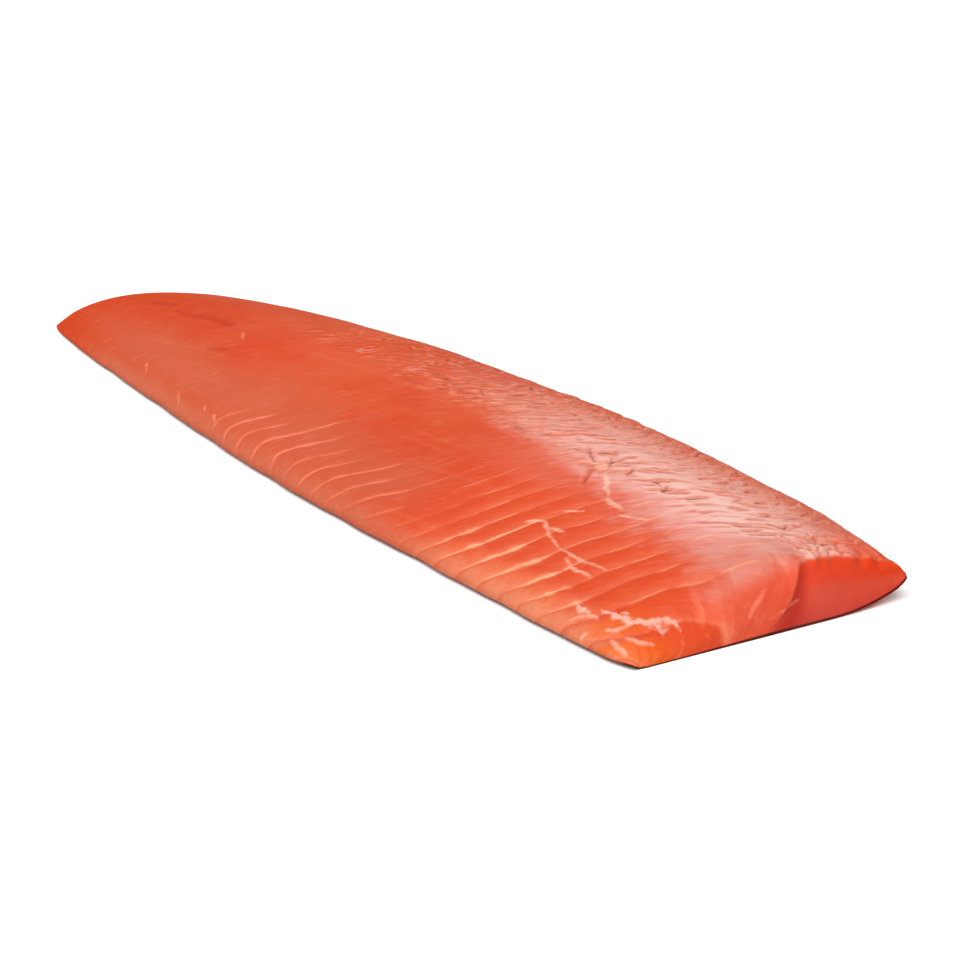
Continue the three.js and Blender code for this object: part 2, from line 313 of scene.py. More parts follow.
def hashed(i, j, seed):
    """Fraction of sin(12.9898 i + 78.233 j + 37.719 seed) * 43758.5453, from 0 to 1."""
    return np.abs(np.sin(i * 12.9898 + j * 78.233 + seed * 37.719) * 43758.5453) % 1


def grain(a, b, seed):
    """Smooth noise from -1 to 1: hashed values at whole a and b, blended by 3t^2 - 2t^3."""
    ia, ib = np.floor(a), np.floor(b)
    ta, tb = smooth(a - ia, 0, 1), smooth(b - ib, 0, 1)
    low = mix(hashed(ia, ib, seed), hashed(ia + 1, ib, seed), ta)
    high = mix(hashed(ia, ib + 1, seed), hashed(ia + 1, ib + 1, seed), ta)
    return 2 * mix(low, high, tb) - 1


def cells(a, b, seed):
    """Distances to the nearest and second nearest of one hashed point in each unit cell."""
    near = np.full(np.broadcast(a, b).shape, 9.0)  # further than any point can be
    second = near.copy()
    ia, ib = np.floor(a), np.floor(b)
    for da in (-1, 0, 1):
        for db in (-1, 0, 1):
            ca, cb = ia + da, ib + db
            reach = np.hypot(ca + hashed(ca, cb, seed) - a, cb + hashed(ca, cb, seed + 9) - b)
            second = np.minimum(second, np.maximum(near, reach))
            near = np.minimum(near, reach)
    return near, second


class Fillet:
    """Formulas of the whole side, for the sizes that a user has set."""

    def __init__(self, shape):
        self.length = shape.length
        self.crest_height = shape.crest_height
        self.pitch = shape.flake_pitch
        self.step_height = shape.step_height
        self.pillow_height = shape.pillow_height
        self.mid_shift = MID_SHIFT

    def x(self, s):
        return (s - 0.5) * self.length

    def edges(self, s):
        """y of both edges: the keel line minus the belly's reach, and plus the loin's."""
        keel = TAIL_DRIFT * (1 - s) ** TAIL_DRIFT_FADE
        fade = smooth(s, *TAIL_FADE)
        turn = np.clip((s - BELLY_BULGE["from"]) / (BELLY_BULGE["to"] - BELLY_BULGE["from"]), 0, 1)
        bulge = BELLY_BULGE["size"] * np.sin(2 * np.pi * turn)
        belly = BELLY["reach"] * (swell(s, BELLY) - BELLY["tuck"] * past(s, BELLY["run"]))
        loin = LOIN["reach"] * (swell(s, LOIN) - LOIN["tuck"] * past(s, LOIN["run"]))
        x = self.x(s)
        belly_edge = keel - belly + bulge + fade * waves(BELLY_SWAY, x, 0)
        return belly_edge, keel + loin + fade * waves(LOIN_SWAY, x, 0)

    def lean(self, v):
        """How far a flake lies behind and ahead of upright at v: powers of the distance to the bend.

        On the far slope, a power of the distance past its start is taken off again.
        """
        belly = BELLY_LEAN * np.maximum(0, 1 - v / FLAKE_BEND) ** BELLY_LEAN_CURVE
        loin = LOIN_LEAN * np.maximum(0, (v - FLAKE_BEND) / (1 - FLAKE_BEND)) ** LOIN_LEAN_CURVE
        turn = np.maximum(0, (v - LOIN_TURN["from"]) / (1 - LOIN_TURN["from"])) ** LOIN_TURN["curve"]
        return belly, loin - LOIN_TURN["reach"] * turn

    def upright(self, s, v):
        """x with the lean of the flakes taken out, so that it is the same all along a seam."""
        belly, loin = self.lean(v)
        length = mix(*EDGE_TURN["length"], smooth(s, *EDGE_TURN["s"]))
        return self.x(s) + belly - loin - length * np.maximum(0, 1 - v / EDGE_TURN["v"]) ** 2

    def place(self, s, v):
        """Position in the row of flakes: upright x over the pitch, with an uneven spacing."""
        upright = self.upright(s, v)
        sweep = mix(*SWEEP["reach"], smooth(v, *SWEEP["v"])) * smooth(s, *SWEEP["s"])
        return (upright - sweep + SEAM_START) / self.pitch + waves(FLAKE_JITTER, upright, 0)

    def y(self, s, v):
        return mix(*self.edges(s), v)

    def seam_fat(self, s, v):
        """Strength of the nearest seam's fat, 0 to 1, up to its own reach from the belly edge."""
        place = self.place(s, v)
        rank = np.round(place) - FIRST_SEAM
        reach, strength = np.array(SEAMS).T
        nearest = np.clip(rank, 0, len(SEAMS) - 1).astype(int)
        inside = 1 - smooth(v - reach[nearest], *SEAM_FADE)
        return strength[nearest] * inside * (rank == nearest)

    def torn(self, s, v):
        """Where the loin has come apart, 0 to 1: a slow patchwork, strongest beside the valley."""
        x = self.x(s)
        patches = 0.5 + 0.5 * waves(TORN_ALONG, x, v) * waves(TORN_ACROSS, x, v)
        zone = smooth(s, *STEP_ZONE["s"]) * smooth(v, *STEP_ZONE["v"]) * (1 - smooth(v, *STEP_ZONE["edge"]))
        return zone * patches

    def flakelets(self, s, v, front, size, seed):
        """Small torn flakes: cells in a grid of front and y, each rising to its front."""
        x, y = self.x(s), self.y(s, v)
        across = front / size["across"]
        along = y / size["along"]
        across = across + 0.5 * grain(y / FLAKE_WANDER[0], x / FLAKE_WANDER[1], seed + 20)
        near, second = cells(across, along, seed)
        edge = np.clip((second - near) / 0.35, 0, 1)
        return size["height"] * (edge * (2 - edge) - 0.8 * near)

    def slits(self, s, v):
        """Signed distance to the nearest slit between torn flakes, and how much it shows, 0 to 1.

        Slits run along the seams, an even number to a flake, and noise along each one shows
        short lengths of it.
        """
        x, y = self.x(s), self.y(s, v)
        shift = 0.05 * grain(y / FLAKE_WANDER[0], x / FLAKE_WANDER[1], 1)
        rank = SLITS["in_flake"] * (self.place(s, v) + shift)
        rank = rank + 0.3 * grain(y / (35 * MM), x / (25 * MM), 14)
        rank = rank + 0.22 * grain(y / (7 * MM), x / (6 * MM), 16)
        gap = (rank - np.round(rank)) * self.pitch / SLITS["in_flake"]
        shown = smooth(grain(np.round(rank) * 7.31, y / SLITS["every"], 15), 0.1, 0.55)
        zone = smooth(s, *SLIT_ZONE["s"]) * smooth(v, *SLIT_ZONE["v"]) * (1 - smooth(v, *SLIT_ZONE["edge"]))
        return gap, shown * zone * (0.45 + 0.55 * self.torn(s, v))

    def relief(self, s, v):
        """Low relief of the top, in metres: pillows, torn steps, slits, pit, sway and finer forms."""
        x, y = self.x(s), self.y(s, v)
        shifted = y - self.mid_shift
        place = self.place(s, v)
        within = place - np.floor(place)
        seam = np.minimum(within, 1 - within) * self.pitch
        pillow = self.pillow_height * np.sin(np.pi * within) ** PILLOW_FULLNESS
        groove = SEAM_GROOVE["depth"] * bell(seam, SEAM_GROOVE["width"])
        pillow_zone = smooth(s, *PILLOW_ZONE["s"]) * (1 - smooth(v, *PILLOW_ZONE["v"]))

        torn = self.torn(s, v)
        coarse, fine = grain(y / (6 * MM), x / (15 * MM), 1), grain(y / (2.4 * MM), x / (9 * MM), 2)
        ragged = RAGGED_SEAM * (coarse + fine)
        rough = place + ragged
        step = self.step_height * torn * (rough - np.floor(rough) - 0.5)
        zone = smooth(s, *STEP_ZONE["s"]) * smooth(v, *STEP_ZONE["v"])
        patchy = smooth(grain(x / TORN_PATCH[0], y / TORN_PATCH[1], 4), 0.0, 0.6)
        small = self.flakelets(s, v, self.upright(s, v), TORN_SCALE, 3)
        near_cut = smooth(s, *CUT_TONGUES["s"]) * smooth(v, *CUT_TONGUES["v"])
        tongues = self.flakelets(s, v, x, CUT_TONGUES, 7) * near_cut
        lumps = LUMPS["height"] * grain(x / LUMPS["size"], y / LUMPS["size"], 6)
        gap, shown = self.slits(s, v)
        lip = SLIT_LIP["height"] * bell(gap + SLIT_LIP["behind"], SLIT_LIP["width"])
        slit = lip - SLITS["depth"] * bell(gap, SLITS["width"])

        pit = TEAR["depth"] * np.exp(
            -(((x - TEAR["x"]) / TEAR["length"]) ** 2) - ((v - TEAR["v"]) / TEAR["width"]) ** 2
        )
        ridge = STRAND_HEIGHT * bell(np.maximum(0, strand_gap(x, shifted)), STRAND_ROUND)
        crack = CRACK_DEPTH * bell(np.maximum(0, self.crack_gap(x, shifted)), CRACK_ROUND)
        fine = zone * (patchy * small + lumps) + tongues + slit * shown
        return (pillow - groove) * pillow_zone + step + fine - pit + ridge - crack + waves(TOP_SWAY, x, v)

    def noses(self, s):
        grown = swell(s, CREST)
        return BELLY_NOSE * grown, LOIN_LIFT * grown, LOIN_NOSE * grown

    def underside(self, s, v, width):
        """Flat at 0, rounded up at both edges and lifted by the square of v past LIFT_FROM."""
        belly, lift, loin = self.noses(s)
        lifted = lift * np.clip((v - LIFT_FROM) / (1 - LIFT_FROM), 0, 1) ** 2
        belly_round = 1 - quarter_round(v * width, UNDER_ROUND)
        loin_round = 1 - quarter_round((1 - v) * width, UNDER_ROUND)
        return lifted + belly * belly_round + (loin - lift) * loin_round

    def topside(self, s, v, width):
        """Crest height times a sine climb from the belly and a cosine fall to the loin edge."""
        crest = self.crest_height * swell(s, CREST) * (1 - CREST["fall"] * past(s, CREST["run"]))
        climb = np.sin(np.pi / 2 * np.clip(v / CREST_PLACE, 0, 1)) ** BELLY_SWELL
        fall = np.cos(np.pi / 2 * np.clip((v - CREST_PLACE) / (1 - CREST_PLACE), 0, 1))
        profile = np.where(v < CREST_PLACE, mix(BELLY_EDGE_HEIGHT, 1, climb), mix(LOIN_EDGE_HEIGHT, 1, fall))
        droop = CUT_DROOP["depth"] * smooth(s, CUT_DROOP["from"], 1)
        belly, _, loin = self.noses(s)
        nose = mix(belly, loin, smooth(v, *NOSE_BLEND))
        rounding = quarter_round(np.minimum(v, 1 - v) * width, EDGE_ROUND)
        body = nose + np.maximum(0, crest * profile - droop - nose) * rounding
        return body + self.relief(s, v) * rounding * smooth(s, *TAIL_FADE)

    def slanted(self, row, v):
        """Row fraction plus part of the flakes' lean, so that the rows nearly follow the seams."""
        fade = smooth(row, 0, SLANT_IN) * (1 - smooth(row, SLANT_OUT, 1))
        belly, loin = self.lean(v)
        return row + ROW_SLANT * (loin - belly) * fade / self.length

    def split_lean(self, s, v, level):
        """How far a point beside the split moves to the loin: top - foot * (1 - level)^3."""
        beside = np.exp(-(((v - SPLIT[1]) / SPLIT_LEAN["width"]) ** 2)) * smooth(s, *SPLIT_LEAN["s"])
        return (SPLIT_LEAN["top"] - SPLIT_LEAN["foot"] * (1 - level) ** 3) * beside

    def point_at(self, s, v, level):
        """Points (x, y, z) above the underside, at the fraction level of the thickness."""
        belly, loin = self.edges(s)
        low = self.underside(s, v, loin - belly)
        high = np.maximum(low, self.topside(s, v, loin - belly))
        y = mix(belly, loin, v) + self.split_lean(s, v, level)
        return np.stack([self.x(s) + 0 * y, y, mix(low, high, level)], -1)

    def top_level(self, s, v):
        """The full thickness, 1, rolled down to a lip by a quarter of an ellipse at the cut."""
        crisp = smooth(v, SPLIT[0], SPLIT[1])
        rolled = mix(*ROLL_LENGTH, smooth(v, *ROLL_NARROWS))
        roll = quarter_round((1 - s) * self.length, mix(rolled, CRISP_LENGTH, crisp))
        return mix(mix(ROLL_LIP, CRISP_LIP, crisp), 1, roll)

    def raggedness(self, s, v):
        """How far the rim of the loin's cut lies back: grain across it, only at its very end."""
        uneven = 0.5 + 0.5 * grain(self.y(s, v) / RIM_GRAIN, 0 * v, 6)
        return RIM_RAGGED * smooth(v, SPLIT[0], SPLIT[1]) * uneven * smooth(s, RIM_FROM, 1)

    def under_points(self, row, v):
        """Points (x, y, z) of the underside for arrays of row and v."""
        s = self.slanted(row, v)
        belly, loin = self.edges(s)
        return np.stack([self.x(s), mix(belly, loin, v), self.underside(s, v, loin - belly)], -1)

    def top_points(self, row, v):
        """Points (x, y, z) of the top, with a ragged rim at the cut."""
        s = self.slanted(row, v)
        points = self.point_at(s, v, self.top_level(s, v))
        points[..., 0] -= self.raggedness(s, v)
        return points

    def face_points(self, down, v):
        """Points of the cut face, from its rim down to its foot, dished along X."""
        points = self.point_at(1, v, self.top_level(1, v) * (1 - down))
        crisp = smooth(v, SPLIT[0], SPLIT[1])
        beside = 1 - smooth(v, SPLIT[1], SPLIT[2])
        bowl = 27 / 4 * down * (1 - down) ** 2
        points[..., 0] -= self.raggedness(1, v) * (1 - smooth(down, 0, RIM_FADE))
        points[..., 0] -= bowl * crisp * (FACE_HOLLOW + SPLIT_DEPTH * beside)
        return points

    def crack_gap(self, x, y):
        """Distance to the nearest tear: the listed ones and seeded short ones on the loin.

        Three in four of the short ones run along the seams, and the others nearly across them.
        """
        rng = np.random.default_rng(CRACK_SEED)
        seeded = []
        for _ in range(CRACK_COUNT):
            s, v = rng.uniform(*CRACK_ZONE["s"]), rng.uniform(*CRACK_ZONE["v"])
            seam = SEAM_DEGREES + CRACK_TURN["by"] * float(smooth(v, *CRACK_TURN["v"]))
            turn = rng.choice([rng.normal(*spread) for spread in CRACK_SPREAD], p=CRACK_SHARES)
            angle = math.radians(seam + turn)
            start = np.array([self.x(s), float(self.y(np.array(s), v)) - self.mid_shift]) / MM
            middle = start + rng.uniform(*CRACK_LENGTH) * np.array([math.cos(angle), math.sin(angle)])
            bend = angle + rng.uniform(-0.4, 0.4)
            end = middle + rng.uniform(*CRACK_LENGTH) * np.array([math.cos(bend), math.sin(bend)])
            seeded.append(((tuple(start), tuple(middle), tuple(end)), rng.uniform(*CRACK_WIDTH)))
        return path_gap(x, y, TEARS + tuple(seeded))


def broken(a, b, seed):
    """Three octaves of grain, each half as high and about twice as fine as the last."""
    finer, finest = grain(2.1 * a, 2.1 * b, seed + 1), grain(4.3 * a, 4.3 * b, seed + 2)
    return grain(a, b, seed) + 0.5 * finer + 0.25 * finest


def path_gap(x, y, paths, wander=0.0):
    """Distance from (x, y), moved by noise up to wander, to the nearest path, less half its width.

    The width narrows to a fifth at both ends of a path, by the fourth power of the way from its middle.
    """
    gap = np.full(np.broadcast(x, y).shape, PATH_REACH)
    a, b = x / (6 * MM), y / (6 * MM)
    x, y = x + wander * broken(a, b, 31), y + wander * broken(a, b, 41)
    for corners, width in paths:
        pieces = len(corners) - 1
        for n in range(pieces):
            a, b = np.array(corners[n]) * MM, np.array(corners[n + 1]) * MM
            along, part, side = run_beside(x, y, a, b)
            reach = np.hypot(side, along - np.clip(along, 0, np.hypot(*(b - a))))
            taper = 1 - 0.8 * (2 * (n + part) / pieces - 1) ** 4
            gap = np.minimum(gap, reach - 0.5 * width * MM * taper)
    return gap


def strand_gap(x, y):
    """Distance to the nearest strand of fat, or thread across the torn pit."""
    return np.minimum(path_gap(x, y, STRANDS, STRAND_WANDER), path_gap(x, y, PIT_THREADS, THREAD_WANDER))


def hollows(height):
    """Mean height two cells away on four sides, less the height itself: positive in a hollow."""
    wide = np.pad(height, 2, mode="edge")
    around_it = wide[:-4, 2:-2] + wide[4:, 2:-2] + wide[2:-2, :-4] + wide[2:-2, 4:]
    return around_it / 4 - height


def run_beside(x, y, a, b):
    """Along, fraction along and sideways distance of (x, y) from the line through a and b."""
    ahead = (b - a) / np.hypot(*(b - a))
    along = (x - a[0]) * ahead[0] + (y - a[1]) * ahead[1]
    side = (y - a[1]) * ahead[0] - (x - a[0]) * ahead[1]
    return along, np.clip(along / np.hypot(*(b - a)), 0, 1), side


def row_stations():
    """Running sum of steps that open up from the tail tip and close in on the cut, from 0 to 1."""
    k = np.arange(ROWS)
    steps = np.minimum(1, np.minimum((k + FIRST_STEP) / TAIL_ROWS, (ROWS - k) / CUT_ROWS))
    return np.cumsum(steps) / steps.sum()


def top_stations():
    """Even steps across the top, blended with 0.5 - 0.5 cos(pi t), which gathers at the edges."""
    even = np.linspace(0, 1, TOP_COLUMNS + 1)
    return mix(even, 0.5 - 0.5 * np.cos(np.pi * even), EDGE_GATHERING)


def face_levels():
    """Heights counted down from the rim: even steps blended with t(2 - t), which gathers at the foot."""
    even = np.linspace(0, 1, FACE_LEVELS + 2)[1:-1, None]
    return mix(even, even * (2 - even), FOOT_GATHERING)


def fit_to_solid(points):
    """Centres the points in the solid's box and shrinks any side that would reach past it."""
    low, high = points.min(0), points.max(0)
    scale = np.minimum(1, CAD_SIZE / (high - low))
    middle, target = (low + high) / 2, (CAD_LOW + CAD_HIGH) / 2
    placed = target + (points - middle) * scale
    placed[:, 2] = CAD_LOW[2] + (points[:, 2] - low[2]) * scale[2]
    return placed


def quad_grid(index):
    """The four corners of every cell in a grid of vertex numbers, counted round."""
    return np.stack([index[:-1, :-1], index[1:, :-1], index[1:, 1:], index[:-1, 1:]], -1)


def fillet_mesh(fillet):
    """One closed mesh: the tail tip, rings of top and underside, and the cut face."""
    across = top_stations()
    under = np.array(UNDERSIDE_STATIONS)
    rows = row_stations()[:, None]
    top, bottom = fillet.top_points(rows, across[None]), fillet.under_points(rows, under[None])
    rings = np.concatenate([top, bottom], 1)
    inner = across[1:-1]
    levels = face_levels()
    face = fillet.face_points(levels, inner[None])
    tip = np.array([[fillet.x(0.0), TAIL_DRIFT, 0.0]])
    points = np.concatenate([tip, rings.reshape(-1, 3), face.reshape(-1, 3)])

    around = rings.shape[1]
    ring = 1 + np.arange(ROWS * around).reshape(ROWS, around)
    round_again = np.concatenate([ring, ring[:, :1]], 1)
    quads = quad_grid(round_again)
    fan = np.stack([np.zeros(around, int), round_again[0, :-1], round_again[0, 1:]], -1)

    rim = ring[-1, : TOP_COLUMNS + 1]
    inside = 1 + ROWS * around + np.arange(face.shape[0] * face.shape[1]).reshape(face.shape[:2])
    ends = np.ones((FACE_LEVELS, 1), int)
    sheet = np.concatenate([rim[None], np.concatenate([ends * rim[0], inside, ends * rim[-1]], 1)])
    face_quads = quad_grid(sheet[:, 1:-1])
    belly_end = np.stack([sheet[1:, 1], sheet[:-1, 1], sheet[:-1, 0] * 0 + rim[0]], -1)
    loin_end = np.stack([sheet[:-1, -2], sheet[1:, -2], sheet[:-1, 0] * 0 + rim[-1]], -1)

    foot_v = np.concatenate([[0.0], under[::-1], [1.0]])
    foot = np.concatenate([[rim[0]], ring[-1, TOP_COLUMNS + 1 :][::-1], [rim[-1]]])
    marks = np.clip(np.searchsorted(across, foot_v), 1, TOP_COLUMNS - 1)
    lowest = sheet[-1]
    strip = []
    for i in range(len(foot) - 1):
        upper = lowest[marks[i] : marks[i + 1] + 1][::-1]
        strip.append([int(foot[i]), int(foot[i + 1]), *map(int, upper)])

    faces = quads.reshape(-1, 4).tolist() + face_quads.reshape(-1, 4).tolist()
    faces += fan.tolist() + belly_end.tolist() + loin_end.tolist() + strip
    return points, faces


def fillet_fields(fillet):
    """Values that the finish reads at every vertex, in the mesh's vertex order."""
    across = top_stations()
    under = np.array(UNDERSIDE_STATIONS)
    stations = np.concatenate([across, under])[None]
    rows = row_stations()[:, None]
    s = fillet.slanted(rows, stations)
    v = stations + 0 * s
    below = np.concatenate([0 * across, 0 * under + 1])[None] + 0 * s
    levels = face_levels()
    face_v = across[None, 1:-1] + 0 * levels
    ones = np.ones_like(face_v)

    def whole(tip, ring, face):
        return np.concatenate([[tip], ring.ravel(), face.ravel()])

    along = whole(0, s, ones)
    width = whole(FLAKE_BEND, v, face_v)
    x, y = fillet.x(along), fillet.y(along, width) - fillet.mid_shift
    on_top = 1 - below
    hollow = hollows(fillet.relief(s[:, : across.size], v[:, : across.size])) / MM
    hollow = np.concatenate([hollow, np.zeros((len(s), under.size))], 1)
    tops = fillet.top_points(rows, across[None])[..., 2]
    top_s, top_v = s[:, : across.size], v[:, : across.size]
    belly, loin = fillet.edges(top_s)
    low = fillet.underside(top_s, top_v, loin - belly)
    high = fillet.topside(top_s, top_v, loin - belly)
    under_rim, rim = low[-1:, 1:-1], high[-1:, 1:-1]
    faces = fillet.face_points(levels, across[None, 1:-1])[..., 2]
    beneath = np.zeros((len(s), under.size))
    standing = whole(0, np.concatenate([tops - low, beneath], 1), faces - under_rim)
    thickness = np.concatenate([np.maximum(high - low, MM), beneath + 1], 1)
    full = whole(1, thickness, np.maximum(rim - under_rim, MM) + 0 * faces)
    fall = np.clip(1 - standing / full, 0, 1)
    gap, shown = fillet.slits(s, v)
    lip = bell(gap + SLIT_LIP["behind"], SLIT_LIP["width"])
    slit = shown * bell(gap, SLITS["width"]) - 0.6 * shown * lip
    end_of_top = smooth(s, 0.9985, 1) * on_top * smooth(v, SPLIT[0], SPLIT[1])
    # Painted shade in the fold between the roll and the cut face, wider towards the foot.
    cleft_shade = bell(width - mix(*CLEFT_SHADE["v"], fall), mix(*CLEFT_SHADE["width"], fall))
    return {
        "along": along,
        "across": width,
        "place": fillet.place(along, width),
        "seam_fat": fillet.seam_fat(along, width),
        "slit": whole(0, slit * on_top, 0 * ones),
        "hollow": whole(0, hollow * on_top, 0 * ones),
        "strand": strand_gap(x, y) / MM,
        "streak": path_gap(x, y, STREAKS, STRAND_WANDER) / MM,
        "membrane": path_gap(x, y, MEMBRANES, MEMBRANE_WANDER) / MM,
        "crack": fillet.crack_gap(x, y) / MM,
        "cut": whole(0, end_of_top, smooth(face_v, 0.5, 0.56)),
        "cleft_shade": cleft_shade * smooth(along, *CLEFT_SHADE["s"]),
        "fall": fall,
        "stroke": path_gap(width * CUT_WIDTH, fall * CUT_DEPTH, STROKES, STROKE_WANDER) / MM,
        "standing": standing / MM,
        "underside": whole(0, below, 0 * face_v),
    }


# ---------------------------------------------------------------------------------------------
# Finish
# ---------------------------------------------------------------------------------------------


def arithmetic(operation, swapped=False):
    """A method that adds a Math node, with its two values swapped for a reflected operator."""

    def method(self, other):
        values = (other, self) if swapped else (self, other)
        return self.graph.math(operation, *values)

    return method


class Field:
    """A number that varies over the surface. Arithmetic on it adds Math nodes."""

    def __init__(self, graph, socket):
        self.graph = graph
        self.socket = socket

    __add__, __radd__ = arithmetic("ADD"), arithmetic("ADD", swapped=True)
    __sub__, __rsub__ = arithmetic("SUBTRACT"), arithmetic("SUBTRACT", swapped=True)
    __mul__, __rmul__ = arithmetic("MULTIPLY"), arithmetic("MULTIPLY", swapped=True)
    __truediv__ = arithmetic("DIVIDE")

    def math(self, operation):
        return self.graph.math(operation, self)

    def step(self, low, high):
        """0 at low and 1 at high, smoothly, or the other way round where high is less than low."""
        if high < low:
            return 1 - self.step(high, low)
        values = {"Value": self, "From Min": low, "From Max": high, "To Min": 0.0, "To Max": 1.0}
        made = self.graph.node("ShaderNodeMapRange", values, interpolation_type="SMOOTHSTEP")
        return Field(self.graph, made.outputs[0])


class Graph:
    """Builds one material's nodes."""

    def __init__(self, material):
        material.use_nodes = True
        self.tree = material.node_tree
        self.tree.nodes.clear()

    def node(self, kind, inputs=None, **settings):
        made = self.tree.nodes.new(kind)
        for name, value in settings.items():
            setattr(made, name, value)
        for name, value in (inputs or {}).items():
            self.plug(made.inputs[name], value)
        return made

    def plug(self, socket, value):
        if isinstance(value, Field):
            self.tree.links.new(value.socket, socket)
        elif isinstance(value, bpy.types.NodeSocket):
            self.tree.links.new(value, socket)
        elif socket.type == "RGBA" and len(value) == 3:
            socket.default_value = (*value, 1.0)
        else:
            socket.default_value = value

    def math(self, operation, *values):
        made = self.node("ShaderNodeMath", operation=operation)
        for socket, value in zip(made.inputs, values):
            self.plug(socket, value)
        return Field(self, made.outputs[0])

    def attribute(self, name):
        return Field(self, self.node("ShaderNodeAttribute", attribute_name=name).outputs["Fac"])

    def along_seams(self, vector, lengths):
        """The vector along the loin's seams, across them and upwards, in units of the lengths."""
        ahead, aside = math.cos(SEAM_ANGLE), math.sin(SEAM_ANGLE)
        parts = []
        for way, length in zip(((ahead, aside, 0), (-aside, ahead, 0), (0, 0, 1)), lengths):
            inputs = {0: vector, 1: [part / length for part in way]}
            parts.append(self.node("ShaderNodeVectorMath", inputs, operation="DOT_PRODUCT").outputs["Value"])
        return self.combined(*parts)

    def stretched(self, vector, scale):
        inputs = {0: vector, 1: scale}
        return self.node("ShaderNodeVectorMath", inputs, operation="MULTIPLY").outputs[0]

    def combined(self, x, y, z):
        return self.node("ShaderNodeCombineXYZ", {"X": x, "Y": y, "Z": z}).outputs[0]

    def noise(self, vector, scale, detail=2.0, roughness=0.5):
        inputs = {"Vector": vector, "Scale": scale, "Detail": detail, "Roughness": roughness}
        return Field(self, self.node("ShaderNodeTexNoise", inputs).outputs["Fac"])

    def blend(self, factor, a, b):
        made = self.node("ShaderNodeMix", data_type="RGBA")
        for index, value in ((0, factor), (6, a), (7, b)):
            self.plug(made.inputs[index], value)
        return made.outputs[2]

    def bump(self, height, distance, strength):
        inputs = {"Height": height, "Distance": distance, "Strength": strength}
        return self.node("ShaderNodeBump", inputs).outputs["Normal"]

    def principled(self, inputs):
        shader = self.node("ShaderNodeBsdfPrincipled", inputs)
        output = self.node("ShaderNodeOutputMaterial")
        self.tree.links.new(shader.outputs[0], output.inputs["Surface"])


class Coats:
    """A colour over the surface, with further colours laid over it one by one."""

    def __init__(self, graph, colour):
        self.graph = graph
        self.colour = colour

    def lay(self, share, colour):
        """Blends a colour in by its share, from 0 to 1."""
        self.colour = self.graph.blend(share, self.colour, colour)


